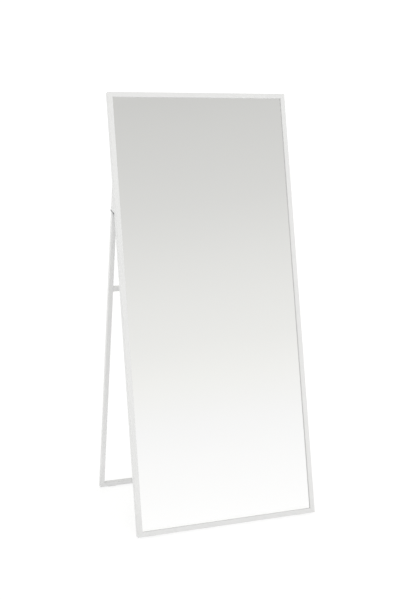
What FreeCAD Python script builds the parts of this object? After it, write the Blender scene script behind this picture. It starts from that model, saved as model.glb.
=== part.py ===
import FreeCAD, Part

import math
import os
import re

import Sketcher
from FreeCAD import Placement, Rotation, Vector

os.makedirs("parts", exist_ok=True)

# A leaning floor mirror: a framed glass that stands on its lower edge and on a folding rear stand.
# +Z is up, +Y points backwards, the glass faces -Y. The origin is on the floor, at the middle of the
# object's box. Two local systems are used besides it:
#   frame system  X across, Y through the frame from its front face, Z up along the leaning frame
#   hinge system  X across, Y backwards square to the open legs, Z up along them, zero at the hinge pin

doc = FreeCAD.newDocument("FloorMirror")

DIMENSIONS = [
    # frame profile: a hollow chamber with a hollow lip in front of the glass
    ("frame_width", 800), ("frame_height", 1835), ("frame_face", 20), ("frame_depth", 30),
    ("lip_depth", 6), ("lip_reach", 7), ("frame_wall", 1.5), ("frame_edge_radius", 1),
    # the open position
    ("lean", 11.9), ("leg_tilt", 12.6),
    # what the frame holds
    ("glass_thickness", 4), ("glass_arris", 0.5), ("foam_thickness", 2), ("board_thickness", 3),
    ("glass_gap", 1),
    ("key_arm", 50), ("key_depth", 18), ("key_gap", 0.15),
    ("grub_radius", 2.5), ("grub_length", 12), ("grub_place", 32), ("grub_sink", 0.4),
    ("grub_socket", 1.25), ("grub_socket_depth", 3),
    ("clip_width", 18), ("clip_sheet", 1.2), ("clip_foot", 14), ("clip_rise", 12), ("clip_inset", 250),
    ("clip_screw_radius", 1.9), ("clip_head_radius", 3.4), ("clip_head_height", 2.2),
    ("clip_screw_length", 7),
    # hinge
    ("hinge_height", 1334), ("hinge_offset", 27.5), ("knuckle_radius", 3.5), ("knuckle_gap", 0.5),
    ("knuckle_length", 7.6), ("knuckle_side_gap", 0.2), ("knuckle_relief", 0.5),
    ("pin_radius", 2), ("pin_head_radius", 3.4), ("pin_head", 2.5), ("pin_tail", 0.6),
    ("leaf_sheet", 2), ("leaf_gap", 0.6), ("curl_radius", 3), ("curl_gap", 0.6), ("running_gap", 0.05),
    ("leaf_screw_radius", 2), ("leaf_screw_head", 1.6), ("leaf_screw_length", 12),
    ("leaf_screw_spacing", 9),
    # hinge bracket
    ("bracket_tip", 3), ("bracket_seat", 6), ("bracket_screw_radius", 2.4), ("bracket_head_radius", 4),
    ("bracket_head_height", 2.8), ("bracket_screw_length", 15), ("bracket_screw_low", 34),
    ("bracket_screw_high", 86), ("counterbore_gap", 0.6),
    # stand
    ("tube_size", 20), ("tube_wall", 1.5), ("tube_edge_radius", 1.5), ("insert_length", 26),
    ("insert_gap", 0.15), ("rail_height", 983),
    # floor pads
    ("pad_length", 40), ("pad_thickness", 2), ("frame_pad_back", 2), ("frame_pad_width", 10),
    ("stand_pad_front", 2), ("stand_pad_width", 12), ("pad_inset", 60),
    # how far a cutting outline reaches past the material
    ("cut_over", 1),
]

# Places that follow from the dimensions.
PLACES = [
    ("half_width", "frame_width / 2"),
    ("chamber", "frame_face - lip_reach"),
    ("glass_back", "lip_depth + glass_thickness"),
    ("foam_back", "glass_back + foam_thickness"),
    ("board_back", "foam_back + board_thickness"),
    ("glass_edge", "chamber + glass_gap"),
    ("open_angle", "lean + leg_tilt"),
    ("hinge_depth", "frame_depth + knuckle_gap + knuckle_radius"),
    ("leg_back", "hinge_offset + tube_size"),
    ("leaf_face", "leaf_gap / 2 + leaf_sheet"),
    ("knuckle_clear", "knuckle_radius + knuckle_relief"),
    ("frame_z", "pad_thickness + (frame_depth - frame_pad_back) * sin(lean)"),
    ("hinge_z", "frame_z + hinge_height * cos(lean) - hinge_depth * sin(lean)"),
    ("leg_length", "(hinge_z + (hinge_offset + stand_pad_front) * sin(leg_tilt) - pad_thickness)"
                   " / cos(leg_tilt)"),
    ("hinge_reach", "hinge_height * sin(lean) + hinge_depth * cos(lean)"),
    ("front_end", "frame_edge_radius * (cos(lean) + sin(lean) - 1)"),
    ("back_end", "hinge_reach + (leg_back - tube_edge_radius) * cos(leg_tilt)"
                 " + (leg_length - tube_edge_radius) * sin(leg_tilt) + tube_edge_radius"),
    ("frame_y", "-(front_end + back_end) / 2"),
    ("hinge_y", "frame_y + hinge_reach"),
    ("back_line", "frame_depth - hinge_depth"),
]

dims = doc.addObject("Spreadsheet::Sheet", "Dims")
for row, (name, value) in enumerate(DIMENSIONS, start=1):
    dims.set("A%d" % row, name)
    dims.set("B%d" % row, str(value))
    dims.setAlias("B%d" % row, name)
doc.recompute()

OWNER = {name: "Dims" for name, value in DIMENSIONS}
OWNER.update({name: "Layout" for name, text in PLACES})


def bound(text):
    """An expression with each named value prefixed by the object that owns it."""
    return re.sub(r"[a-z_]+", lambda word: (OWNER[word.group()] + "." if word.group() in OWNER else "")
                  + word.group(), str(text))


layout = doc.addObject("App::VarSet", "Layout")
for name, text in PLACES:
    layout.addProperty("App::PropertyFloat", name, "Places")
    layout.setExpression(name, bound(text))
doc.recompute()


def size(name):
    """The number behind a named value, for code that finds an edge by its place."""
    return float(dims.get(name) if OWNER[name] == "Dims" else layout.getPropertyByName(name))


# ---------------------------------------------------------------- placing and sketching

def place(feature, system):
    """Places a sub-part made in the frame system or the hinge system."""
    angle = {"frame": "-lean", "hinge": "leg_tilt"}[system]
    feature.Placement = Placement(Vector(), Rotation(Vector(1, 0, 0), 1))
    feature.setExpression(".Placement.Base.y", bound(system + "_y"))
    feature.setExpression(".Placement.Base.z", bound(system + "_z"))
    feature.setExpression(".Placement.Rotation.Angle", bound(angle))


def new_body(label, system):
    body = doc.addObject("PartDesign::Body", label)
    body.Label = label
    body.AllowCompound = True
    place(body, system)
    return body


def origin_plane(body, role):
    return next(f for f in body.Origin.OriginFeatures if f.Role == role + "_Plane")


def loop(sketch, corners):
    """A closed outline whose corners are pairs of expressions."""
    first = sketch.GeometryCount
    count = len(corners)
    start = [Vector(math.cos(math.tau * i / count), math.sin(math.tau * i / count), 0)
             for i in range(count)]
    for i in range(count):
        sketch.addGeometry(Part.LineSegment(start[i], start[(i + 1) % count]), False)
    for i in range(count):
        sketch.addConstraint(Sketcher.Constraint("Coincident", first + i, 2, first + (i + 1) % count, 1))
    for i, corner in enumerate(corners):
        for axis, text in zip("XY", corner):
            number = sketch.addConstraint(
                Sketcher.Constraint("Distance" + axis, -1, 1, first + i, 1, start[i]["XY".index(axis)]))
            sketch.setExpression("Constraints[%d]" % number, bound(text))


def circle(sketch, x, y, radius):
    index = sketch.addGeometry(Part.Circle(Vector(1, 1, 0), Vector(0, 0, 1), 1), False)
    for kind, text in (("DistanceX", x), ("DistanceY", y)):
        number = sketch.addConstraint(Sketcher.Constraint(kind, -1, 1, index, 3, 1.0))
        sketch.setExpression("Constraints[%d]" % number, bound(text))
    number = sketch.addConstraint(Sketcher.Constraint("Radius", index, 1.0))
    sketch.setExpression("Constraints[%d]" % number, bound(radius))


def new_sketch(body, plane, loops=(), circles=(), at="0"):
    """A sketch on one of the body's planes, moved by at along the plane's normal."""
    sketch = body.newObject("Sketcher::SketchObject", "Outline")
    sketch.AttachmentSupport = [(origin_plane(body, plane), "")]
    sketch.MapMode = "FlatFace"
    if at != "0":
        sketch.setExpression(".AttachmentOffset.Base.z", bound(at))
    for corners in loops:
        loop(sketch, corners)
    for x, y, radius in circles:
        circle(sketch, x, y, radius)
    return sketch


def pad(body, sketch, length, reverse=False, middle=False):
    feature = body.newObject("PartDesign::Pad", "Pad")
    feature.Profile = sketch
    feature.Midplane = middle
    feature.Reversed = reverse
    feature.setExpression("Length", bound(length))
    doc.recompute()
    return feature


def pocket(body, sketch, length=None, reverse=False, middle=False):
    before = body.Shape.Volume
    feature = body.newObject("PartDesign::Pocket", "Pocket")
    feature.Profile = sketch
    feature.Midplane = middle
    feature.Reversed = reverse
    if length is None:
        feature.Type = "ThroughAll"
    else:
        feature.setExpression("Length", bound(length))
    doc.recompute()
    if body.Shape.Volume >= before - 1e-6:
        raise ValueError("a pocket in %s cut nothing" % body.Label)
    return feature


def round_edges(body, edges, radius, kind="Fillet"):
    """Rounds or chamfers the listed edges of the body's last feature."""
    base = body.Tip
    feature = body.newObject("PartDesign::" + kind, kind)
    feature.Base = (base, edges)
    feature.setExpression("Radius" if kind == "Fillet" else "Size", bound(radius))
    doc.recompute()


def straight_edges(shape, axis, places):
    """Names of the straight edges along an axis that pass through the given places across it."""
    across = [i for i in range(3) if i != axis]
    names = []
    for index, edge in enumerate(shape.Edges, start=1):
        ends = [v.Point for v in edge.Vertexes]
        if len(ends) != 2 or edge.Curve.TypeId != "Part::GeomLine":
            continue
        if any((ends[0] - ends[1])[i] ** 2 > 1e-6 for i in across):
            continue
        if any(all(abs(ends[0][i] - spot[k]) < 1e-3 for k, i in enumerate(across)) for spot in places):
            names.append("Edge%d" % index)
    return names


def rim_edges(shape, radius, axis, place_on_axis):
    """Names of the full circles of one radius whose centre lies at a place along an axis."""
    return ["Edge%d" % index for index, edge in enumerate(shape.Edges, start=1)
            if edge.Curve.TypeId == "Part::GeomCircle" and abs(edge.Curve.Radius - radius) < 1e-4
            and abs(edge.Curve.Center[axis] - place_on_axis) < 1e-3]


# ---------------------------------------------------------------- frame

SIDES = (("left", "-"), ("right", ""))
STILE_CLIPS = ["clip_inset", "frame_height / 2", "frame_height - clip_inset"]
RAIL_CLIPS = ["-half_width / 2", "half_width / 2"]
CLIP_MIDDLE = "board_back + (clip_rise + clip_sheet) / 2"
CLIP_HOLE = "clip_screw_radius + running_gap"
THROUGH_WALL = "frame_wall + 2 * cut_over"
BRACKET_SCREWS = ["bracket_screw_low", "bracket_screw_high"]


def profile(edge, inward, to_point):
    """The frame's L-shaped section, walls and hollow; edge is its outer side, inward its sign."""
    def outline(skin):
        lip = ["%s %s %s" % (edge, inward, far) for far in (
            "(%s)" % skin, "(frame_face - %s)" % skin, "(chamber - %s)" % skin)]
        front, step, back = skin, "(lip_depth - %s)" % skin, "(frame_depth - %s)" % skin
        return [to_point(lip[0], front), to_point(lip[1], front), to_point(lip[1], step),
                to_point(lip[2], step), to_point(lip[2], back), to_point(lip[0], back)]
    return [outline("0"), outline("frame_wall")]


def profile_corners(edge, inward):
    """The four long edges of the section that are rounded, as (place across, depth)."""
    return [(edge, 0), (edge + inward * size("frame_face"), 0), (edge, size("frame_depth")),
            (edge + inward * size("chamber"), size("frame_depth"))]


def stile(side, sign):
    edge, inward = sign + "half_width", "-" if sign == "" else "+"
    number = -1 if sign == "-" else 1
    body = new_body(side + "_stile", "frame")
    section = profile(edge, inward, lambda x, y: (x, y))
    bar = pad(body, new_sketch(body, "XY", section), "frame_height")
    spots = profile_corners(number * size("half_width"), -number)
    round_edges(body, straight_edges(bar.Shape, 2, spots), "frame_edge_radius")
    past = "%s %s (frame_face + cut_over)" % (edge, inward)
    mitres = [[(edge, "0"), (past, "frame_face + cut_over"), (past, "-cut_over"), (edge, "-cut_over")],
              [(edge, "frame_height"), (past, "frame_height - frame_face - cut_over"),
               (past, "frame_height + cut_over"), (edge, "frame_height + cut_over")]]
    pocket(body, new_sketch(body, "XZ", mitres))
    middle = "%s %s chamber / 2" % (edge, inward)
    holes = [(middle, spot, "grub_radius + running_gap") for spot in
             ("grub_place", "frame_height - grub_place")]
    holes += [(middle, "hinge_height + " + spot, "bracket_screw_radius + running_gap")
              for spot in BRACKET_SCREWS]
    back_wall = new_sketch(body, "XZ", circles=holes, at="-frame_depth - cut_over")
    pocket(body, back_wall, THROUGH_WALL, reverse=True)
    clips = [(CLIP_MIDDLE, spot, CLIP_HOLE) for spot in STILE_CLIPS]
    inner = "%s %s (chamber + cut_over)" % (edge, inward)
    pocket(body, new_sketch(body, "YZ", circles=clips, at=inner), THROUGH_WALL, reverse=number > 0)


def rail(name, edge, inward):
    body = new_body(name, "frame")
    section = profile(edge, inward, lambda z, y: (y, z))
    bar = pad(body, new_sketch(body, "YZ", section), "frame_width", middle=True)
    number = 1 if inward == "+" else -1
    level = 0 if inward == "+" else size("frame_height")
    spots = [(y, z) for z, y in profile_corners(level, number)]
    round_edges(body, straight_edges(bar.Shape, 0, spots), "frame_edge_radius")
    mitres = []
    for end, back in (("-half_width", "+"), ("half_width", "-")):
        out = "%s %s cut_over" % (end, "-" if back == "+" else "+")
        past = "%s %s (frame_face + cut_over)" % (end, back)
        inner = "%s %s (frame_face + cut_over)" % (edge, inward)
        mitres.append([(end, edge), (past, inner), (out, inner), (out, edge)])
    pocket(body, new_sketch(body, "XZ", mitres))
    middle = "%s %s chamber / 2" % (edge, inward)
    holes = [(sign + "(half_width - grub_place)", middle, "grub_radius + running_gap")
             for side, sign in SIDES]
    back_wall = new_sketch(body, "XZ", circles=holes, at="-frame_depth - cut_over")
    pocket(body, back_wall, THROUGH_WALL, reverse=True)
    clips = [(spot, CLIP_MIDDLE, CLIP_HOLE) for spot in RAIL_CLIPS]
    inner = "%s %s (chamber + cut_over)" % (edge, inward)
    pocket(body, new_sketch(body, "XY", circles=clips, at=inner), THROUGH_WALL, reverse=number < 0)


for side, sign in SIDES:
    stile(side, sign)
rail("bottom_rail", "0", "+")
rail("top_rail", "frame_height", "-")

# Where the stiles and rails meet: the sign across, the outer level and the sign towards the middle.
CORNERS = [(sign, level, up) for sign in ("-", "") for level, up in (("0", "+"), ("frame_height", "-"))]
KEY_EDGE = "frame_wall + key_gap"
KEY_INNER = "chamber - frame_wall - key_gap"


def corner_points(sign, level, up, pairs):
    """Points given as distances in from a corner of the frame."""
    return [("%s(half_width - (%s))" % (sign, x), "%s %s (%s)" % (level, up, z)) for x, z in pairs]


def grub_spots(sign, level, up):
    return corner_points(sign, level, up, [("grub_place", "chamber / 2"), ("chamber / 2", "grub_place")])


keys = new_body("corner_keys", "frame")
key_loops = [corner_points(sign, level, up, [
    (KEY_EDGE, KEY_EDGE), ("key_arm", KEY_EDGE), ("key_arm", KEY_INNER), (KEY_INNER, KEY_INNER),
    (KEY_INNER, "key_arm"), (KEY_EDGE, "key_arm")]) for sign, level, up in CORNERS]
key_holes = [(x, z, "grub_radius + running_gap") for corner in CORNERS for x, z in grub_spots(*corner)]
KEY_BACK = "-(frame_depth - frame_wall - key_gap)"
pad(keys, new_sketch(keys, "XZ", key_loops, key_holes, at=KEY_BACK), "key_depth")

grubs = new_body("corner_key_screws", "frame")
GRUB_FACE = "-(frame_depth - grub_sink)"
pad(grubs, new_sketch(grubs, "XZ", circles=[(x, z, "grub_radius") for corner in CORNERS
                                            for x, z in grub_spots(*corner)], at=GRUB_FACE), "grub_length")
sockets = [[("%s + %.9f * grub_socket" % (x, math.cos(math.tau * k / 6)),
             "%s + %.9f * grub_socket" % (z, math.sin(math.tau * k / 6))) for k in range(6)]
           for corner in CORNERS for x, z in grub_spots(*corner)]
pocket(grubs, new_sketch(grubs, "XZ", sockets, at=GRUB_FACE), "grub_socket_depth", reverse=True)


def sheet_piece(name, front, thickness, inset):
    """A flat sheet behind the lip, set in from the frame's outer edges all round."""
    body = new_body(name, "frame")
    right = "half_width - " + inset
    low, high = inset, "frame_height - " + inset
    outline = [("-(%s)" % right, low), (right, low), (right, high), ("-(%s)" % right, high)]
    pad(body, new_sketch(body, "XZ", [outline], at="-(%s)" % front), thickness, reverse=True)
    return body


glass = sheet_piece("mirror_glass", "lip_depth", "glass_thickness", "glass_edge")
rims = ["Edge%d" % n for n in range(1, len(glass.Tip.Shape.Edges) + 1)]
round_edges(glass, rims, "glass_arris", "Chamfer")
sheet_piece("foam_sheet", "glass_back", "foam_thickness", "glass_edge")
sheet_piece("backing_board", "foam_back", "board_thickness", "glass_edge")

# Angle clips screwed to the inner wall of the chamber, with a foot that presses on the board.
clips = new_body("retaining_clips", "frame")
clip_screws = new_body("retaining_clip_screws", "frame")
CLIP_TOP = "board_back + clip_rise"


def clip_outline(edge, inward, to_point):
    wall, plate, foot = ["%s %s (chamber + %s)" % (edge, inward, far)
                         for far in ("0", "clip_sheet", "clip_foot")]
    return [to_point(wall, "board_back"), to_point(foot, "board_back"),
            to_point(foot, "board_back + clip_sheet"), to_point(plate, "board_back + clip_sheet"),
            to_point(plate, CLIP_TOP), to_point(wall, CLIP_TOP)]


def clip_row(plane, spots, edge, inward, to_point, head_up):
    """One side's clips and their pan-head screws."""
    for spot in spots:
        outline = clip_outline(edge, inward, to_point)
        pad(clips, new_sketch(clips, plane, [outline], at=spot), "clip_width", middle=True)
    other = "YZ" if plane == "XY" else "XY"
    face = "%s %s (chamber + clip_sheet)" % (edge, inward)
    centre = (lambda spot: (CLIP_MIDDLE, spot)) if other == "YZ" else (lambda spot: (spot, CLIP_MIDDLE))
    for radius, length, towards in (("clip_head_radius", "clip_head_height", head_up),
                                    ("clip_screw_radius", "clip_screw_length", not head_up)):
        rounds = [centre(spot) + (radius,) for spot in spots]
        disc = new_sketch(clip_screws, other, circles=rounds, at=face)
        pad(clip_screws, disc, length, reverse=not towards)


for side, sign in SIDES:
    clip_row("XY", STILE_CLIPS, sign + "half_width", "-" if sign == "" else "+",
             lambda x, y: (x, y), sign == "-")
clip_row("YZ", RAIL_CLIPS, "0", "+", lambda z, y: (y, z), True)
clip_row("YZ", RAIL_CLIPS, "frame_height", "-", lambda z, y: (y, z), False)
side_holes = [(CLIP_MIDDLE, spot, CLIP_HOLE) for spot in STILE_CLIPS]
pocket(clips, new_sketch(clips, "YZ", circles=side_holes), middle=True)
end_holes = [(spot, CLIP_MIDDLE, CLIP_HOLE) for spot in RAIL_CLIPS]
pocket(clips, new_sketch(clips, "XY", circles=end_holes), middle=True)

# ---------------------------------------------------------------- hinge

LEAF_SPOTS = ["hinge_offset + tube_size / 2 %s leaf_screw_spacing / 2" % s for s in ("-", "+")]
HEAD_RADIUS = "leaf_screw_radius + leaf_screw_head - running_gap"
SEGMENT = "(tube_size - knuckle_length) / 2 - knuckle_side_gap"
NOTCH = "(tube_size - knuckle_length) / 2 + knuckle_side_gap"


def inner_side(sign):
    """The lower X side of the space behind a stile that the hinge and the leg share."""
    return "-half_width" if sign == "-" else "half_width - tube_size"


def tube_middle(sign):
    return "%s + tube_size / 2" % inner_side(sign)


def tilted_sketch(body, circles, depth):
    """A sketch parallel to the frame's back, at a depth from the frame's front face."""
    sketch = new_sketch(body, "XZ", circles=circles)
    sketch.AttachmentOffset = Placement(Vector(), Rotation(Vector(-1, 0, 0), 1))
    away = "(%s - hinge_depth)" % depth
    sketch.setExpression(".AttachmentOffset.Base.y", bound("-%s * sin(open_angle)" % away))
    sketch.setExpression(".AttachmentOffset.Base.z", bound("-%s * cos(open_angle)" % away))
    sketch.setExpression(".AttachmentOffset.Rotation.Angle", bound("open_angle"))
    return sketch


def bracket(side, sign):
    """The wedge that continues the open leg up to the frame's back."""
    body = new_body("hinge_bracket_" + side, "hinge")
    top = "((leg_back * cos(open_angle) - back_line - bracket_tip) / sin(open_angle))"
    outline = [
        ("(back_line + knuckle_clear * sin(open_angle)) / cos(open_angle)", "knuckle_clear"),
        ("knuckle_clear", "knuckle_clear"),
        ("knuckle_clear", "leaf_face"),
        ("leg_back", "leaf_face"),
        ("leg_back", top),
        ("leg_back - bracket_tip * cos(open_angle)", top + " + bracket_tip * sin(open_angle)")]
    wedge = pad(body, new_sketch(body, "YZ", [outline], at=inner_side(sign)), "tube_size")
    start = -size("half_width") if sign == "-" else size("half_width") - size("tube_size")
    spots = [(x, size("leg_back")) for x in (start, start + size("tube_size"))]
    round_edges(body, straight_edges(wedge.Shape, 2, spots), "tube_edge_radius")
    middle = "%s(half_width - chamber / 2)" % sign
    holes = [(middle, spot, "bracket_screw_radius + running_gap") for spot in BRACKET_SCREWS]
    pocket(body, tilted_sketch(body, holes, "frame_depth"))
    bores = [(middle, spot, "bracket_head_radius + counterbore_gap") for spot in BRACKET_SCREWS]
    pocket(body, tilted_sketch(body, bores, "(frame_depth + bracket_seat)"))
    holes = [(tube_middle(sign), spot, "leaf_screw_radius + running_gap") for spot in LEAF_SPOTS]
    pocket(body, new_sketch(body, "XY", circles=holes, at="leaf_face"), "leaf_screw_length", reverse=True)


def leaf(side, sign, moving):
    """One hinge leaf: a plate, its knuckles about the pin and its countersunk screw holes."""
    body = new_body("hinge_%s_leaf_%s" % ("moving" if moving else "fixed", side), "hinge")
    base = inner_side(sign)
    face, back = ("-leaf_gap / 2", "-leaf_face") if moving else ("leaf_gap / 2", "leaf_face")
    curl = "leg_back + curl_gap + curl_radius"
    end = curl if moving else "leg_back"
    plate = [("0", face), (end, face), (end, back), ("0", back)]
    pad(body, new_sketch(body, "YZ", [plate], at=base), "tube_size")
    ends = [(base, NOTCH), ("%s + tube_size - (%s)" % (base, NOTCH), NOTCH)]
    centre = [("%s + %s" % (base, SEGMENT), "knuckle_length + 2 * knuckle_side_gap")]
    for start, length in (ends if moving else centre):
        gap = new_sketch(body, "YZ", circles=[("0", "0", "knuckle_clear")], at=start)
        pocket(body, gap, length, reverse=True)
    own = ([("%s + (tube_size - knuckle_length) / 2" % base, "knuckle_length")] if moving else
           [(base, SEGMENT), ("%s + tube_size - (%s)" % (base, SEGMENT), SEGMENT)])
    for start, length in own:
        pad(body, new_sketch(body, "YZ", circles=[("0", "0", "knuckle_radius")], at=start), length)
    if moving:
        pad(body, new_sketch(body, "YZ", circles=[(curl, "0", "curl_radius")], at=base), "tube_size")
    bore = new_sketch(body, "YZ", circles=[("0", "0", "pin_radius + running_gap")])
    pocket(body, bore, middle=True)
    holes = [(tube_middle(sign), spot, "leaf_screw_radius + running_gap") for spot in LEAF_SPOTS]
    pocket(body, new_sketch(body, "XY", circles=holes), middle=True)
    level = size("leaf_gap") / 2 * (-1 if moving else 1)
    rims = rim_edges(body.Tip.Shape, size("leaf_screw_radius") + size("running_gap"), 2, level)
    round_edges(body, rims, "leaf_screw_head", "Chamfer")


def pin(side, sign):
    body = new_body("hinge_pin_" + side, "hinge")
    outer = sign + "half_width"
    reverse = sign == ""
    shank = new_sketch(body, "YZ", circles=[("0", "0", "pin_radius")], at=outer)
    pad(body, shank, "tube_size + pin_tail", reverse)
    head = new_sketch(body, "YZ", circles=[("0", "0", "pin_head_radius")], at=outer)
    pad(body, head, "pin_head", not reverse)
    end = (size("half_width") + size("pin_head")) * (1 if reverse else -1)
    round_edges(body, rim_edges(body.Tip.Shape, size("pin_head_radius"), 0, end), "pin_head / 3")


for side, sign in SIDES:
    bracket(side, sign)
    leaf(side, sign, False)
    leaf(side, sign, True)
    pin(side, sign)


def leaf_screws(name, up):
    """Countersunk screws: a cone under the leaf's face and a plain shank."""
    body = new_body(name, "hinge")
    way = 1 if up else -1
    spots = [(tube_middle(sign), spot) for side, sign in SIDES for spot in LEAF_SPOTS]
    face = "%sleaf_gap / 2" % ("" if up else "-")
    pad(body, new_sketch(body, "XY", circles=[s + ("leaf_screw_radius",) for s in spots], at=face),
        "leaf_screw_length", reverse=not up)
    cones = [spot + (HEAD_RADIUS,) for spot in spots]
    cone = new_sketch(body, "XY", circles=cones, at=face)
    heads = pad(body, cone, "leaf_screw_head - running_gap", not up)
    inner = way * (size("leaf_gap") / 2 + size("leaf_screw_head") - size("running_gap"))
    radius = size("leaf_screw_radius") + size("leaf_screw_head") - size("running_gap")
    rims = rim_edges(heads.Shape, radius, 2, inner)
    round_edges(body, rims, "leaf_screw_head - 2 * running_gap", "Chamfer")


leaf_screws("fixed_leaf_screws", True)
leaf_screws("moving_leaf_screws", False)

bracket_screws = new_body("bracket_screws", "frame")
screw_spots = [("%s(half_width - chamber / 2)" % sign, "hinge_height + " + spot)
               for side, sign in SIDES for spot in BRACKET_SCREWS]
SEAT = "-(frame_depth + bracket_seat)"
for radius, length, back in (("bracket_screw_radius", "bracket_screw_length", False),
                             ("bracket_head_radius", "bracket_head_height", True)):
    rounds = [spot + (radius,) for spot in screw_spots]
    pad(bracket_screws, new_sketch(bracket_screws, "XZ", circles=rounds, at=SEAT), length, reverse=back)

# ---------------------------------------------------------------- stand


def square(x, y):
    """A square tube's outer and inner outline from its lower corner."""
    def outline(skin):
        near = ["%s + %s" % (at, skin) for at in (x, y)]
        far = ["%s + tube_size - %s" % (at, skin) for at in (x, y)]
        return [(near[0], near[1]), (far[0], near[1]), (far[0], far[1]), (near[0], far[1])]
    return [outline("0"), outline("tube_wall")]


def square_corners(x, y):
    return [(x + a, y + b) for a in (0, size("tube_size")) for b in (0, size("tube_size"))]


def leg(side, sign):
    body = new_body(side + "_leg", "hinge")
    low = inner_side(sign)
    tube = pad(body, new_sketch(body, "XY", square(low, "hinge_offset"), at="-leaf_face"),
               "leg_length - leaf_face", reverse=True)
    start = -size("half_width") if sign == "-" else size("half_width") - size("tube_size")
    spots = square_corners(start, size("hinge_offset"))
    round_edges(body, straight_edges(tube.Shape, 2, spots), "tube_edge_radius")
    outer, inward = sign + "half_width", "-" if sign == "" else "+"
    past = "%s %s (tube_size + cut_over)" % (outer, inward)
    mitre = [(outer, "-leg_length"), (past, "-leg_length + tube_size + cut_over"),
             (past, "-leg_length - cut_over"), (outer, "-leg_length - cut_over")]
    pocket(body, new_sketch(body, "XZ", [mitre]))
    block = new_body("leg_insert_" + side, "hinge")
    skin = "tube_wall + insert_gap"
    near, far = "%s + %s" % (low, skin), "%s + tube_size - (%s)" % (low, skin)
    front, back = "hinge_offset + %s" % skin, "leg_back - (%s)" % skin
    holes = [(tube_middle(sign), spot, "leaf_screw_radius + running_gap") for spot in LEAF_SPOTS]
    outline = [(near, front), (far, front), (far, back), (near, back)]
    pad(block, new_sketch(block, "XY", [outline], holes, at="-leaf_face"), "insert_length", reverse=True)


def cross_tube(name, height, length, mitred):
    body = new_body(name, "hinge")
    level = "-leg_length + " + height
    tube = pad(body, new_sketch(body, "YZ", square("hinge_offset", level)), length, middle=True)
    bottom = -size("leg_length") + (0 if height == "0" else size(height))
    spots = square_corners(size("hinge_offset"), bottom)
    round_edges(body, straight_edges(tube.Shape, 0, spots), "tube_edge_radius")
    if mitred:
        mitres = []
        for end, back, out in (("-half_width", "+", "-"), ("half_width", "-", "+")):
            inner = level + " + tube_size + cut_over"
            past = "%s %s (tube_size + cut_over)" % (end, back)
            outside = "%s %s cut_over" % (end, out)
            mitres.append([(end, level), (past, inner), (outside, inner), (outside, level)])
        pocket(body, new_sketch(body, "XZ", mitres))


for side, sign in SIDES:
    leg(side, sign)
cross_tube("stand_crossbar", "0", "frame_width", True)
cross_tube("upper_rail", "rail_height", "frame_width - 2 * tube_size", False)

# ---------------------------------------------------------------- floor pads


def pads(name, system, front, back, top, bottom):
    """Two wedges whose undersides lie on the floor."""
    body = new_body(name, system)
    outline = [(front, top), (back, top), (back, bottom % back), (front, bottom % front)]
    for side, sign in SIDES:
        middle = "%s(half_width - pad_inset)" % sign
        pad(body, new_sketch(body, "YZ", [outline], at=middle), "pad_length", middle=True)


pads("frame_floor_pads", "frame", "(frame_depth - frame_pad_back - frame_pad_width)",
     "(frame_depth - frame_pad_back)", "0", "(%s * sin(lean) - frame_z) / cos(lean)")
pads("stand_floor_pads", "hinge", "(hinge_offset + stand_pad_front)",
     "(hinge_offset + stand_pad_front + stand_pad_width)", "-leg_length",
     "-(hinge_z + %s * sin(leg_tilt)) / cos(leg_tilt)")

# ---------------------------------------------------------------- check and write

doc.recompute()
for item in doc.Objects:
    if any(state in ("Invalid", "Error") for state in item.State):
        raise ValueError("%s did not compute: %s" % (item.Label, item.State))

for item in doc.Objects:
    if item.TypeId != "PartDesign::Body":
        continue
    if item.Shape.isNull() or not item.Shape.isValid():
        raise ValueError(item.Label + " has no valid shape")
    item.Shape.exportStep("parts/%s.step" % item.Label)
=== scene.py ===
"""The floor mirror's finishes and fine detail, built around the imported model."""

from math import radians

import bpy
from mathutils import Matrix, Vector


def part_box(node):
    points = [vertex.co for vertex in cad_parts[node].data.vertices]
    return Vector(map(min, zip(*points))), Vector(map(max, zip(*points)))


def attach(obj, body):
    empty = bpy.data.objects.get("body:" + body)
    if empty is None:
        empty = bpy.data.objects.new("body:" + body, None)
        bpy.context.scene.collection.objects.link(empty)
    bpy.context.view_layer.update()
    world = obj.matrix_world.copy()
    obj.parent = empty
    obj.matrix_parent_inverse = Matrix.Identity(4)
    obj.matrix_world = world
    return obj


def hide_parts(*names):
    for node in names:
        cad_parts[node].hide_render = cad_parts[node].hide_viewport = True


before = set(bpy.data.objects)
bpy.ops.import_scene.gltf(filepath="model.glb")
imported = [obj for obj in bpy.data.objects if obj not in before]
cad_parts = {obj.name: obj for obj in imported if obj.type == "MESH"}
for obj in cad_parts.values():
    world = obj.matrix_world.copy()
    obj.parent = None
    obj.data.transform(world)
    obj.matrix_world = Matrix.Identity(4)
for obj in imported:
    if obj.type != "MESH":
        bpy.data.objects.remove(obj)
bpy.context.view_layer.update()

MM = 0.001

# How the frame leans back, and how the open stand tilts the other way.
LEANING = Matrix.Rotation(radians(-11.9), 4, "X")
STANDING = Matrix.Rotation(radians(12.6), 4, "X")

# Base colours.
FRAME_WHITE = (0.815, 0.815, 0.815)
STAND_WHITE = (0.83, 0.83, 0.83)
MIRROR_TINT = (0.93, 0.93, 0.925)
FOAM_WALL, FOAM_PIT = (0.86, 0.86, 0.85), (0.74, 0.74, 0.73)
BOARD_DARK, BOARD_PALE = (0.51, 0.51, 0.51), (0.575, 0.575, 0.57)
BOARD_CLOUD, BOARD_FLECK = (0.49, 0.49, 0.485), (0.38, 0.375, 0.37)
RUBBER_GREY, RUBBER_DUST = (0.62, 0.62, 0.61), (0.72, 0.715, 0.70)
FLOOR_DARK, FLOOR_PALE = (0.41, 0.41, 0.41), (0.44, 0.44, 0.44)

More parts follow.
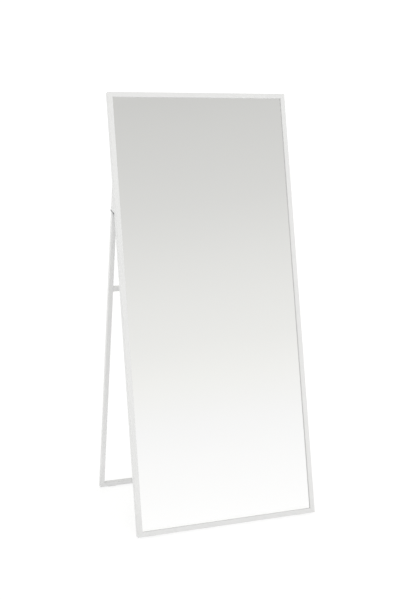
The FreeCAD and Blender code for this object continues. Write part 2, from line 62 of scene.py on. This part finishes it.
# Painted shade on the white coats: how dark it is, the heights over which it thins out above the
# floor, and how far it reaches out of a corner. None is laid in the seam where a piece meets the
# floor.
PAINTED_SHADE_TONE = 0.6
FLOOR_SHADE_FULL, FLOOR_SHADE_NONE = 20 * MM, 140 * MM
CORNER_SHADE, CORNER_REACH = 0.8, 14 * MM
CORNER_SHADE_NONE, CORNER_SHADE_FULL = 10 * MM, 18 * MM


# Finishes: small helpers that each add one thing to a material's nodes.


def new_finish(name):
    """A bare material, with its surface shader and the object's own coordinates."""
    finish = bpy.data.materials.new(name)
    finish.use_nodes = True
    tree = finish.node_tree
    surface = next(n for n in tree.nodes if n.type == "BSDF_PRINCIPLED")
    place = tree.nodes.new("ShaderNodeTexCoord").outputs["Object"]
    return finish, tree, surface, place


def stretched(tree, place, stretch):
    """Coordinates stretched, so that a pattern runs along the piece."""
    mapping = tree.nodes.new("ShaderNodeMapping")
    mapping.inputs["Scale"].default_value = stretch
    tree.links.new(place, mapping.inputs["Vector"])
    return mapping.outputs["Vector"]


def grain(tree, place, size, detail=2.0, roughness=0.5):
    """Soft random grain, with blots of about this size in metres."""
    noise = tree.nodes.new("ShaderNodeTexNoise")
    noise.inputs["Scale"].default_value = 1 / size
    noise.inputs["Detail"].default_value = detail
    noise.inputs["Roughness"].default_value = roughness
    tree.links.new(place, noise.inputs["Vector"])
    return noise.outputs["Fac"]


def cells(tree, place, size):
    """Small rounded cells, dark in the middle."""
    voronoi = tree.nodes.new("ShaderNodeTexVoronoi")
    voronoi.inputs["Scale"].default_value = 1 / size
    tree.links.new(place, voronoi.inputs["Vector"])
    return voronoi.outputs["Distance"]


def spread(tree, value, low, high, to_low=0.0, to_high=1.0):
    """Stretches a value's range from low..high to to_low..to_high, and holds it there."""
    node = tree.nodes.new("ShaderNodeMapRange")
    ends = {"From Min": low, "From Max": high, "To Min": to_low, "To Max": to_high}
    for name, number in ends.items():
        node.inputs[name].default_value = number
    tree.links.new(value, node.inputs["Value"])
    return node.outputs["Result"]


def shaded(colour, amount):
    """The colour made paler or darker by this factor."""
    return tuple(min(1.0, c * amount) for c in colour)


def colours(tree, amount, first, second):
    """Goes from the first colour to the second as amount goes from 0 to 1."""
    mix = tree.nodes.new("ShaderNodeMix")
    mix.data_type = "RGBA"
    sockets = {s.identifier: s for s in mix.inputs}
    tree.links.new(amount, sockets["Factor_Float"])
    for key, colour in (("A_Color", first), ("B_Color", second)):
        if isinstance(colour, tuple):
            sockets[key].default_value = (*colour, 1)
        else:
            tree.links.new(colour, sockets[key])
    return next(s for s in mix.outputs if s.identifier == "Result_Color")


def sums(tree, kind, first, second):
    """One sum on two values, either of which may be a plain number."""
    node = tree.nodes.new("ShaderNodeMath")
    node.operation = kind
    for socket, value in zip(node.inputs, (first, second)):
        if isinstance(value, (int, float)):
            socket.default_value = value
        else:
            tree.links.new(value, socket)
    return node.outputs["Value"]


def dimples(tree, surface, *layers):
    """Lays bumps over one another: each layer is a height, its depth in metres and its strength."""
    normal = None
    for height, depth, strength in layers:
        bump = tree.nodes.new("ShaderNodeBump")
        bump.inputs["Distance"].default_value = depth
        bump.inputs["Strength"].default_value = strength
        tree.links.new(height, bump.inputs["Height"])
        if normal:
            tree.links.new(normal, bump.inputs["Normal"])
        normal = bump.outputs["Normal"]
    tree.links.new(normal, surface.inputs["Normal"])


def rubbed_edges(tree, radius):
    """1 along the piece's sharp edges, where it gets rubbed, and 0 on its flats."""
    rounded = tree.nodes.new("ShaderNodeBevel")
    rounded.samples = 4
    rounded.inputs["Radius"].default_value = radius
    flat = tree.nodes.new("ShaderNodeNewGeometry")
    match = tree.nodes.new("ShaderNodeVectorMath")
    match.operation = "DOT_PRODUCT"
    tree.links.new(rounded.outputs["Normal"], match.inputs[0])
    tree.links.new(flat.outputs["Normal"], match.inputs[1])
    return spread(tree, match.outputs["Value"], 0.99, 0.80)


def crevice_shade(tree, reach):
    """1 deep in a corner or seam, where painted shade is laid, and 0 out on the open faces."""
    openness = tree.nodes.new("ShaderNodeAmbientOcclusion")
    openness.samples = 8
    openness.inputs["Distance"].default_value = reach
    return spread(tree, openness.outputs["AO"], 1.0, 0.0)


def powder_coat(name, colour, roughness, floor_shade):
    """Matt white powder coat: orange peel, fine texture, rubbed edges, and painted shade near the
    floor and in corners.
    """
    finish, tree, surface, place = new_finish(name)
    # The coat itself, with broad clouds and fine specks.
    cloud = spread(tree, grain(tree, place, 0.15, 3), 0.3, 0.7)
    speck = spread(tree, grain(tree, place, 1.2 * MM, 2), 0.35, 0.65)
    base = colours(tree, cloud, shaded(colour, 0.982), shaded(colour, 1.012))
    base = colours(tree, sums(tree, "MULTIPLY", speck, 0.25), base, shaded(colour, 0.965))
    # Its edges are rubbed here and there.
    scuff = spread(tree, grain(tree, place, 9 * MM, 4, 0.65), 0.5, 0.72)
    worn = sums(tree, "MULTIPLY", rubbed_edges(tree, 0.8 * MM), scuff)
    base = colours(tree, sums(tree, "MULTIPLY", worn, 0.5), base, shaded(colour, 0.88))
    # Painted shade lies in patches near the floor, and evenly in corners.
    sides = tree.nodes.new("ShaderNodeSeparateXYZ")
    tree.links.new(place, sides.inputs["Vector"])
    height = sides.outputs["Z"]
    # The colour of the painted shade, laid near the floor and in corners.
    dust = shaded(colour, PAINTED_SHADE_TONE)
    # Near the floor the coat is darkened with painted shade, in patches.
    near_floor = spread(tree, height, FLOOR_SHADE_FULL, FLOOR_SHADE_NONE, 1.0, 0.0)
    patches = grain(tree, place, 25 * MM, 3)
    patchy = spread(tree, patches, 0.3, 0.7, 0.75 * floor_shade, 1.25 * floor_shade)
    base = colours(tree, sums(tree, "MULTIPLY", near_floor, patchy), base, dust)
    # Painted shade in corners and seams, from how closed in the surface is, kept off the seam at the
    # floor.
    off_floor = spread(tree, height, CORNER_SHADE_NONE, CORNER_SHADE_FULL, 0.0, CORNER_SHADE)
    shade_in_corners = sums(tree, "MULTIPLY", crevice_shade(tree, CORNER_REACH), off_floor)
    base = colours(tree, shade_in_corners, base, dust)
    tree.links.new(base, surface.inputs["Base Color"])
    # The gloss goes with the clouds, and rubbing polishes the edges.
    gloss = sums(tree, "ADD", spread(tree, cloud, 0, 1, roughness - 0.04, roughness + 0.05),
                 sums(tree, "MULTIPLY", worn, -0.12))
    tree.links.new(gloss, surface.inputs["Roughness"])
    surface.inputs["IOR"].default_value = 1.5
    dimples(tree, surface,
            (grain(tree, place, 2.4 * MM, 1), 0.15 * MM, 0.35),
            (grain(tree, place, 0.6 * MM, 2), 0.07 * MM, 0.5))
    return finish


def silvered_glass():
    """Float glass silvered on its back: almost a perfect mirror, with a breath of dust."""
    finish, tree, surface, place = new_finish("silvered_glass")
    haze = spread(tree, grain(tree, place, 0.25, 3), 0.35, 0.7)
    tint = colours(tree, haze, MIRROR_TINT, shaded(MIRROR_TINT, 0.996))
    tree.links.new(tint, surface.inputs["Base Color"])
    dust = spread(tree, grain(tree, place, 1.5 * MM, 3, 0.7), 0.68, 0.82, 0.0, 0.05)
    film = spread(tree, haze, 0, 1, 0.0, 0.006)
    tree.links.new(sums(tree, "ADD", dust, film), surface.inputs["Roughness"])
    surface.inputs["Metallic"].default_value = 1.0
    dimples(tree, surface, (grain(tree, place, 0.35, 1), 0.02 * MM, 0.3))
    return finish


def bare_metal(name, dark, light, roughness, streak, lay=(1, 1, 1)):
    """Metal with a drawn or rolled lay, faint scratches and a duller tarnish in patches."""
    finish, tree, surface, place = new_finish(name)
    drawn = grain(tree, stretched(tree, place, lay), streak, 4, 0.6)
    patch = spread(tree, grain(tree, place, 12 * MM, 3), 0.35, 0.65)
    base = colours(tree, spread(tree, drawn, 0.3, 0.7), dark, light)
    base = colours(tree, sums(tree, "MULTIPLY", patch, 0.35), base, shaded(dark, 0.8))
    bright = sums(tree, "MULTIPLY", rubbed_edges(tree, 0.35 * MM), 0.6)
    base = colours(tree, bright, base, shaded(light, 1.25))
    tree.links.new(base, surface.inputs["Base Color"])
    rough = sums(tree, "ADD", spread(tree, drawn, 0.3, 0.7, roughness - 0.06, roughness + 0.06),
                 sums(tree, "MULTIPLY", patch, 0.08))
    tree.links.new(rough, surface.inputs["Roughness"])
    surface.inputs["Metallic"].default_value = 1.0
    scratch = 0.02 * MM
    dimples(tree, surface, (drawn, scratch, 0.4), (grain(tree, place, 1.1 * MM, 3), scratch, 0.25))
    return finish


def foam_finish():
    """White closed-cell foam, cut clean."""
    finish, tree, surface, place = new_finish("white_foam")
    cell = cells(tree, place, 0.9 * MM)
    base = colours(tree, spread(tree, cell, 0.1, 0.7), FOAM_WALL, FOAM_PIT)
    tree.links.new(base, surface.inputs["Base Color"])
    tree.links.new(spread(tree, cell, 0, 1, 0.8, 0.95), surface.inputs["Roughness"])
    dimples(tree, surface, (cell, 0.25 * MM, 0.5))
    return finish


def board_finish():
    """Pale grey pressed hardboard: matted fibres, darker flecks and a faint sheen from the press."""
    finish, tree, surface, place = new_finish("hardboard")
    lying = stretched(tree, place, (1, 1, 0.35))
    fibre = spread(tree, grain(tree, lying, 1.6 * MM, 5, 0.7), 0.32, 0.68)
    cloud = spread(tree, grain(tree, place, 0.12, 4), 0.3, 0.7)
    fleck = spread(tree, grain(tree, place, 3.5 * MM, 3, 0.6), 0.6, 0.74)
    base = colours(tree, fibre, BOARD_DARK, BOARD_PALE)
    base = colours(tree, sums(tree, "MULTIPLY", cloud, 0.4), base, BOARD_CLOUD)
    base = colours(tree, sums(tree, "MULTIPLY", fleck, 0.25), base, BOARD_FLECK)
    tree.links.new(base, surface.inputs["Base Color"])
    tree.links.new(spread(tree, fibre, 0, 1, 0.48, 0.66), surface.inputs["Roughness"])
    waves = grain(tree, place, 14 * MM, 2)
    dimples(tree, surface, (fibre, 0.08 * MM, 0.45), (waves, 0.3 * MM, 0.12))
    return finish


def rubber_finish():
    """Pale grey rubber with a fine moulded grain and a little floor dust."""
    finish, tree, surface, place = new_finish("grey_rubber")
    pebble = cells(tree, place, 0.7 * MM)
    dust = spread(tree, grain(tree, place, 6 * MM, 4, 0.65), 0.45, 0.7)
    base = colours(tree, dust, RUBBER_GREY, RUBBER_DUST)
    tree.links.new(base, surface.inputs["Base Color"])
    tree.links.new(spread(tree, dust, 0, 1, 0.6, 0.85), surface.inputs["Roughness"])
    dimples(tree, surface, (pebble, 0.08 * MM, 0.4))
    return finish


# The metals are given by their darkest and palest colour, roughness, streak size and lay.
FINISHES = {
    "frame_white": powder_coat("frame_powder_coat", FRAME_WHITE, 0.42, 0.12),
    "stand_white": powder_coat("stand_powder_coat", STAND_WHITE, 0.46, 0.25),
    "mirror": silvered_glass(),
    "foam": foam_finish(),
    "board": board_finish(),
    "key_aluminium": bare_metal("sawn_aluminium", (0.62, 0.63, 0.64), (0.76, 0.77, 0.78),
                                0.36, 0.5 * MM, (0.08, 1, 1)),
    "clip_steel": bare_metal("clip_zinc", (0.52, 0.53, 0.55), (0.68, 0.69, 0.70),
                             0.34, 2.5 * MM),
    "screw_zinc": bare_metal("screw_zinc", (0.48, 0.49, 0.52), (0.66, 0.66, 0.67),
                             0.32, 0.6 * MM),
    "hinge_steel": bare_metal("hinge_steel", (0.16, 0.16, 0.17), (0.27, 0.27, 0.28),
                              0.38, 0.8 * MM),
    "insert_steel": bare_metal("insert_steel", (0.36, 0.36, 0.37), (0.50, 0.50, 0.51),
                               0.42, 0.6 * MM, (1, 1, 0.1)),
    "pad_rubber": rubber_finish(),
}

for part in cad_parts.values():
    for holder in part.material_slots:
        holder.material = FINISHES[holder.material.name]


# New pieces: screws with real heads, rubber feet and the stand's weld beads.

SHARP = radians(32)         # an edge turning more than this stays crisp
CUTTER_PROUD = 0.2          # mm that a cutter stands out above and below what it cuts
SCREW_TURN = radians(37)    # how much further round each screw stops than the last


def cleared():
    """Leaves edit mode and lets go of everything."""
    if bpy.context.object and bpy.context.object.mode != "OBJECT":
        bpy.ops.object.mode_set(mode="OBJECT")
    bpy.ops.object.select_all(action="DESELECT")


def taken_up(piece):
    """Makes this the only selected piece."""
    cleared()
    piece.select_set(True)
    bpy.context.view_layer.objects.active = piece


def closed_up(piece):
    """Turns the faces outwards, softens the shading between near-flat faces and leaves edit mode."""
    taken_up(piece)
    bpy.ops.object.mode_set(mode="EDIT")
    bpy.ops.mesh.select_all(action="SELECT")
    bpy.ops.mesh.normals_make_consistent(inside=False)
    bpy.ops.object.mode_set(mode="OBJECT")
    bpy.ops.object.shade_smooth_by_angle(angle=SHARP)


def painted(piece, slot):
    """Gives the piece this slot's finish and no other."""
    piece.data.materials.clear()
    piece.data.materials.append(FINISHES[slot])


def turned(name, profile, sides=28):
    """A round piece built up ring by ring; profile lists (radius, height) in mm, lowest first."""
    cleared()
    radius, height = profile[0]
    bpy.ops.mesh.primitive_circle_add(vertices=sides, radius=radius * MM, fill_type="NGON",
                                      location=(0, 0, height * MM))
    piece = bpy.context.object
    piece.name = piece.data.name = name
    bpy.ops.object.transform_apply(location=True)
    bpy.ops.object.mode_set(mode="EDIT")
    bpy.ops.mesh.select_all(action="SELECT")
    for wider, higher in profile[1:]:
        rise = (0, 0, (higher - height) * MM)
        bpy.ops.mesh.extrude_region_move(TRANSFORM_OT_translate={"value": rise})
        grow = wider / radius
        bpy.ops.transform.resize(value=(grow, grow, 1), center_override=(0, 0, higher * MM))
        radius, height = wider, higher
    closed_up(piece)
    return piece


def threaded(top, bottom, outer, root, pitch=1.0, tip=0.4):
    """The rings of a screw's thread in mm, from its blunt tip up."""
    rings, height = [(root * 0.7, bottom)], bottom + tip
    while height + pitch / 2 < top:
        rings += [(root, height), (outer, height + pitch / 2)]
        height += pitch
    return rings + [(root, height)]


def cut_out(piece, cutter):
    """Takes the cutter's shape out of the piece."""
    taken_up(piece)
    cut = piece.modifiers.new("cut", "BOOLEAN")
    cut.operation, cut.solver, cut.object = "DIFFERENCE", "EXACT", cutter
    bpy.ops.object.modifier_apply(modifier=cut.name)
    bpy.data.objects.remove(cutter)


def cross_recess(piece, reach, width=0.75, depth=1.3):
    """Cuts a driver's tapered cross into the head's top, which lies at height 0."""
    middle = CUTTER_PROUD - depth / 2
    length, tall = reach * 2, depth + 2 * CUTTER_PROUD
    for quarter in (0, 90):
        cleared()
        bpy.ops.mesh.primitive_cube_add(size=1, location=(0, 0, middle * MM),
                                        scale=(length * MM, width * MM, tall * MM))
        bar = bpy.context.object
        bpy.ops.object.transform_apply(location=True, scale=True)
        bpy.ops.object.mode_set(mode="EDIT")
        bpy.ops.mesh.select_all(action="DESELECT")
        bpy.ops.mesh.select_mode(type="FACE")
        bpy.ops.object.mode_set(mode="OBJECT")
        for face in bar.data.polygons:
            face.select = face.normal.z < -0.9
        bpy.ops.object.mode_set(mode="EDIT")
        bpy.ops.transform.resize(value=(0.45, 0.7, 1), center_override=(0, 0, 0))
        bpy.ops.object.mode_set(mode="OBJECT")
        bar.data.transform(Matrix.Rotation(radians(quarter), 4, "Z"))
        cut_out(piece, bar)


def hex_socket(piece, radius, depth):
    """Cuts a key's six-sided socket, of this radius at its corners, into the head's top."""
    cleared()
    middle, tall = CUTTER_PROUD - depth / 2, depth + 2 * CUTTER_PROUD
    bpy.ops.mesh.primitive_cylinder_add(vertices=6, radius=radius * MM, depth=tall * MM,
                                        location=(0, 0, middle * MM))
    key = bpy.context.object
    bpy.ops.object.transform_apply(location=True)
    bpy.ops.object.mode_set(mode="EDIT")
    bpy.ops.mesh.select_all(action="SELECT")
    bpy.ops.mesh.bevel(offset=0.12 * MM, segments=2, affect="EDGES")
    cut_out(piece, key)


def solids(node):
    """The separate solids of a CAD node, each as a list of its corners."""
    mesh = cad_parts[node].data
    corner = [tuple(round(c, 6) for c in v.co) for v in mesh.vertices]
    leader = {c: c for c in corner}

    def first(c):
        while leader[c] != c:
            leader[c] = leader[leader[c]]
            c = leader[c]
        return c

    for face in mesh.polygons:
        start = first(corner[face.vertices[0]])
        for index in face.vertices[1:]:
            leader[first(corner[index])] = start
    found = {}
    for c in leader:
        found.setdefault(first(c), []).append(Vector(c))
    return [found[c] for c in sorted(found)]


def screw_places(node, turn):
    """Where each screw of a CAD node has the middle of its head's top, with its axis upwards."""
    places = []
    for number, corners in enumerate(solids(node)):
        local = [turn.inverted() @ c for c in corners]
        low = [min(p[i] for p in local) for i in range(3)]
        high = [max(p[i] for p in local) for i in range(3)]
        axis = max(range(3), key=lambda i: high[i] - low[i])
        middle = Vector((l + h) / 2 for l, h in zip(low, high))
        # The head is the wider of the screw's two ends.
        reach = {}
        for end in (low, high):
            near = [p for p in local if abs(p[axis] - end[axis]) < 0.3 * MM]
            reach[end is high] = max(sum((p[i] - middle[i]) ** 2 for i in range(3) if i != axis)
                                     for p in near)
        head = reach[True] > reach[False]
        outwards = Vector((0, 0, 0))
        outwards[axis] = 1 if head else -1
        middle[axis] = (high if head else low)[axis]
        upright = (turn.to_3x3() @ outwards).to_track_quat("Z", "Y").to_matrix().to_4x4()
        spin = Matrix.Rotation(SCREW_TURN * number, 4, "Z")
        places.append(Matrix.Translation(turn @ middle) @ upright @ spin)
    return places


def copied_to(pattern, name, places, slot, body):
    """Sets a copy of the pattern at each place, as one piece that rides on the body."""
    copies = []
    for place in places:
        mesh = pattern.data.copy()
        mesh.transform(place)
        copies.append(bpy.data.objects.new(name, mesh))
        bpy.context.scene.collection.objects.link(copies[-1])
    bpy.data.objects.remove(pattern)
    cleared()
    for copy in copies:
        copy.select_set(True)
    bpy.context.view_layer.objects.active = copies[0]
    bpy.ops.object.join()
    piece = bpy.context.object
    piece.name = piece.data.name = name
    painted(piece, slot)
    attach(piece, body)
    return piece


# Each screw head's rings in mm, from the shank up to its top at height 0.
PAN_HEAD = [(1.9, -2.6), (1.9, -2.2), (3.15, -2.2), (3.4, -2.0), (3.4, -1.35),
            (3.25, -0.85), (2.85, -0.4), (2.2, -0.1), (1.4, 0.0)]
CAP_HEAD = [(2.4, -3.4), (2.4, -2.8), (3.8, -2.8), (4.0, -2.6), (4.0, -0.5),
            (3.85, -0.2), (3.5, 0.0)]
FLAT_HEAD = [(2.0, -2.0), (2.0, -1.6), (3.45, -0.15), (3.45, -0.04), (3.35, 0.0)]

# Pan-head screws that hold the clips.
pan_screw = turned("pan_screw", threaded(-2.5, -9.2, 1.9, 1.55) + PAN_HEAD)
cross_recess(pan_screw, 1.55)
closed_up(pan_screw)
clip_screws = copied_to(pan_screw, "clip_pan_screws",
                        screw_places("retaining_clip_screws", LEANING), "screw_zinc", "mirror_frame")
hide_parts("retaining_clip_screws")

# Socket-head screws that hold the hinge brackets to the frame's back.
cap_screw = turned("cap_screw", threaded(-3.4, -17.8, 2.4, 2.0) + CAP_HEAD)
hex_socket(cap_screw, 2.3, 1.6)
closed_up(cap_screw)
bracket_screws = copied_to(cap_screw, "bracket_cap_screws",
                           screw_places("bracket_screws", LEANING), "screw_zinc", "mirror_frame")
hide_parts("bracket_screws")

# Countersunk screws in the hinge leaves.
for node, name, body in (("fixed_leaf_screws", "fixed_leaf_flat_screws", "mirror_frame"),
                         ("moving_leaf_screws", "moving_leaf_flat_screws", "stand")):
    flat_screw = turned("flat_screw", threaded(-2.0, -12.0, 2.0, 1.65) + FLAT_HEAD)
    cross_recess(flat_screw, 1.7)
    closed_up(flat_screw)
    leaf_screws = copied_to(flat_screw, name, screw_places(node, STANDING), "screw_zinc", body)
    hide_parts(node)

# Rubber feet, moulded with soft edges and a shallow recess in the sole.
FOOT_EDGE = 0.45 * MM
SOLE_RIM, SOLE_DEPTH, SOLE_AREA = 1.6 * MM, 0.5 * MM, 100 * MM ** 2
for node, name, body in (("frame_floor_pads", "frame_rubber_feet", "mirror_frame"),
                         ("stand_floor_pads", "stand_rubber_feet", "stand")):
    feet = bpy.data.objects.new(name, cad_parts[node].data.copy())
    bpy.context.scene.collection.objects.link(feet)
    taken_up(feet)
    bpy.ops.object.mode_set(mode="EDIT")
    bpy.ops.mesh.select_mode(type="FACE")
    bpy.ops.mesh.select_all(action="SELECT")
    bpy.ops.mesh.remove_doubles(threshold=0.01 * MM)
    bpy.ops.mesh.dissolve_limited(angle_limit=radians(1))
    bpy.ops.mesh.select_all(action="SELECT")
    bpy.ops.mesh.bevel(offset=FOOT_EDGE, segments=3, affect="EDGES")
    bpy.ops.mesh.select_all(action="DESELECT")
    bpy.ops.object.mode_set(mode="OBJECT")
    for face in feet.data.polygons:
        face.select = face.normal.z < -0.999 and face.area > SOLE_AREA
    bpy.ops.object.mode_set(mode="EDIT")
    bpy.ops.mesh.inset(thickness=SOLE_RIM, depth=-SOLE_DEPTH)
    closed_up(feet)
    painted(feet, "pad_rubber")
    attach(feet, body)
    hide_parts(node)

# Weld beads round both ends of the upper rail, following the tube's rounded square.
TUBE_CORNER = 1.5 * MM
BEAD, RIPPLE, RIPPLE_LOW = 1.1 * MM, 1.6 * MM, 0.86
leg_low, leg_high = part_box("left_leg")
tube = leg_high.x - leg_low.x
rail_low, rail_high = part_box("upper_rail")
for name, end in (("left_rail_weld", rail_low.x), ("right_rail_weld", rail_high.x)):
    cleared()
    bpy.ops.mesh.primitive_plane_add(size=tube)
    weld = bpy.context.object
    bpy.ops.object.mode_set(mode="EDIT")
    bpy.ops.mesh.select_all(action="SELECT")
    bpy.ops.mesh.delete(type="ONLY_FACE")
    bpy.ops.mesh.select_all(action="SELECT")
    bpy.ops.mesh.bevel(offset=TUBE_CORNER, segments=3, affect="VERTICES")
    bpy.ops.mesh.select_all(action="DESELECT")
    bpy.ops.mesh.select_mode(type="EDGE")
    bpy.ops.object.mode_set(mode="OBJECT")
    for edge in weld.data.edges:
        a, b = (weld.data.vertices[i].co for i in edge.vertices)
        edge.select = (a - b).length > tube / 4
    bpy.ops.object.mode_set(mode="EDIT")
    bpy.ops.mesh.subdivide(number_cuts=int(tube / RIPPLE) + 1)
    bpy.ops.object.mode_set(mode="OBJECT")
    bpy.ops.object.convert(target="CURVE")
    bead = weld.data
    bead.bevel_depth, bead.bevel_resolution, bead.fill_mode = BEAD, 2, "FULL"
    for number, point in enumerate(bead.splines[0].points):
        point.radius = 1.0 if number % 2 else RIPPLE_LOW
    bpy.ops.object.convert(target="MESH")
    weld = bpy.context.object
    middle = Vector((end, (rail_low.y + rail_high.y) / 2, (rail_low.z + rail_high.z) / 2))
    weld.data.transform(Matrix.Translation(middle) @ STANDING @ Matrix.Rotation(radians(90), 4, "Y"))
    weld.name = weld.data.name = name
    closed_up(weld)
    painted(weld, "stand_white")
    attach(weld, "stand")

# A short rippled bead in each inner corner over the bottom bar; its rings are in mm.
BEAD_TIP, BEAD_FULL, BEAD_LOW = 0.4, 1.1, 0.95
TIP_LENGTH, RING_STEP, BEAD_SHORT = 0.3, 0.8, 4.2
rings, height = [(BEAD_TIP, 0.0), (BEAD_FULL, TIP_LENGTH)], TIP_LENGTH
while height < tube / MM - BEAD_SHORT:
    height += RING_STEP
    rings.append((BEAD_FULL if len(rings) % 2 else BEAD_LOW, height))
rings.append((BEAD_TIP, height + TIP_LENGTH))

bar_low, bar_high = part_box("stand_crossbar")
bar_middle = Vector((0, (bar_low.y + bar_high.y) / 2, (bar_low.z + bar_high.z) / 2))
corner_rise = STANDING.to_3x3() @ Vector((0, -tube / 2 + TUBE_CORNER, tube / 2))
along = Matrix.Rotation(radians(-90), 4, "X")
inner_corners = []
for side in (-1, 1):
    inner_corner = bar_middle + corner_rise + Vector((side * (bar_high.x - tube), 0, 0))
    inner_corners.append(Matrix.Translation(inner_corner) @ STANDING @ along)
copied_to(turned("corner_bead", rings, 14), "corner_weld_beads", inner_corners,
          "stand_white", "stand")


# The floor, the light and the camera.

FLOOR_SIDE, FLOOR_DROP, FLOOR_GLOW = 120, 0.5 * MM, 0.635


def floor_finish():
    """Pale studio floor with a very faint mottle and a soft glow that keeps it even."""
    finish, tree, surface, place = new_finish("floor_paint")
    mottle = colours(tree, grain(tree, place, 0.8, 3), FLOOR_DARK, FLOOR_PALE)
    tree.links.new(mottle, surface.inputs["Base Color"])
    surface.inputs["Roughness"].default_value = 0.9
    surface.inputs["Specular IOR Level"].default_value = 0.1
    surface.inputs["Emission Color"].default_value = (1, 1, 1, 1)
    surface.inputs["Emission Strength"].default_value = FLOOR_GLOW
    return finish


cleared()
bpy.ops.mesh.primitive_plane_add(size=FLOOR_SIDE, location=(0, 0, -FLOOR_DROP))
floor = bpy.context.object
floor.name = floor.data.name = "floor"
floor.data.transform(floor.matrix_world)
floor.matrix_world.identity()
floor.data.materials.append(floor_finish())

# Height above the horizon, as a sine, and how bright the studio is there, before and behind.
STUDIO_FRONT = (
    (0.000, 1.075), (0.035, 1.048), (0.054, 1.032), (0.094, 0.991), (0.139, 0.941), (0.174, 0.892),
    (0.216, 0.855), (0.259, 0.806), (0.309, 0.742), (0.342, 0.712), (0.383, 0.678), (0.410, 0.650),
    (0.500, 0.780), (0.620, 0.950), (0.800, 1.150), (1.000, 1.400),
)
STUDIO_BACK = (
    (0.000, 1.100), (0.200, 1.080), (0.350, 0.960), (0.600, 0.950), (0.800, 1.150), (1.000, 1.500),
)
WARM_FROM, WARMTH = 0.12, 0.98    # above this height the light has a little less blue
LEFT_WALL_DIM, RIGHT_WALL_DIM = 0.36, 0.50


def studio_side(tree, height, stops):
    """The studio's brightness on one side, by height above the horizon."""
    ramp = tree.nodes.new("ShaderNodeValToRGB")
    band = ramp.color_ramp
    while len(band.elements) < len(stops):
        band.elements.new(0.5)
    for element, (level, light) in zip(band.elements, stops):
        element.position = level
        blue = light * (WARMTH if level > WARM_FROM else 1.0)
        element.color = (light, light, blue, 1)
    tree.links.new(height, ramp.inputs["Fac"])
    return ramp.outputs["Color"]


def studio_light():
    """Light from all round, brightest at the horizon, with dimmer walls to the left and right."""
    studio = bpy.data.worlds.new("studio")
    studio.use_nodes = True
    tree = studio.node_tree
    way = tree.nodes.new("ShaderNodeSeparateXYZ")
    tree.links.new(tree.nodes.new("ShaderNodeTexCoord").outputs["Generated"], way.inputs["Vector"])
    across, back, up = way.outputs["X"], way.outputs["Y"], way.outputs["Z"]
    around = colours(tree, spread(tree, back, -0.25, 0.35),
                     studio_side(tree, up, STUDIO_FRONT), studio_side(tree, up, STUDIO_BACK))
    left_wall = spread(tree, across, -0.1, -0.6, 0.0, LEFT_WALL_DIM)
    right_wall = spread(tree, across, 0.5, 0.9, 0.0, RIGHT_WALL_DIM)
    above_horizon = spread(tree, up, 0.05, 0.35)
    shade = sums(tree, "MULTIPLY", sums(tree, "ADD", left_wall, right_wall), above_horizon)
    backdrop = next(n for n in tree.nodes if n.type == "BACKGROUND")
    tree.links.new(colours(tree, shade, around, (0, 0, 0)), backdrop.inputs["Color"])
    backdrop.inputs["Strength"].default_value = 1.0
    return studio


bpy.context.scene.world = studio_light()

# A large soft light stands in front, to the camera's left and out of the glass's sight.
SOFTBOX_SIDE, SOFTBOX_WATTS = 2.2, 20.0
SOFTBOX_PLACE, SOFTBOX_AIM = Vector((-2.1, -4.5, 2.4)), Vector((0, 0, 0.9))
softbox = bpy.data.lights.new("front_softbox", "AREA")
softbox.shape = "RECTANGLE"
softbox.size = softbox.size_y = SOFTBOX_SIDE
softbox.energy = SOFTBOX_WATTS
lamp = bpy.data.objects.new("front_softbox", softbox)
lamp.location = SOFTBOX_PLACE
lamp.rotation_euler = (SOFTBOX_PLACE - SOFTBOX_AIM).to_track_quat("Z", "Y").to_euler()
lamp.visible_glossy = False
bpy.context.scene.collection.objects.link(lamp)

CAMERA_PLACE = (-1.4626, -3.9786, 1.6561)
CAMERA_TURN, CAMERA_DIP = 20.03, 9.90
SENSOR_WIDTH, FOCAL_LENGTH = 36.0, 59.172
NEAREST, FURTHEST = 0.1, 300.0
lens = bpy.data.cameras.new("camera")
lens.sensor_width, lens.lens = SENSOR_WIDTH, FOCAL_LENGTH
lens.clip_start, lens.clip_end = NEAREST, FURTHEST
camera = bpy.data.objects.new("camera", lens)
camera.location = CAMERA_PLACE
camera.rotation_euler = (radians(90 - CAMERA_DIP), 0, radians(-CAMERA_TURN))
bpy.context.scene.collection.objects.link(camera)
bpy.context.scene.camera = camera
bpy.context.scene.view_settings.view_transform = "Standard"
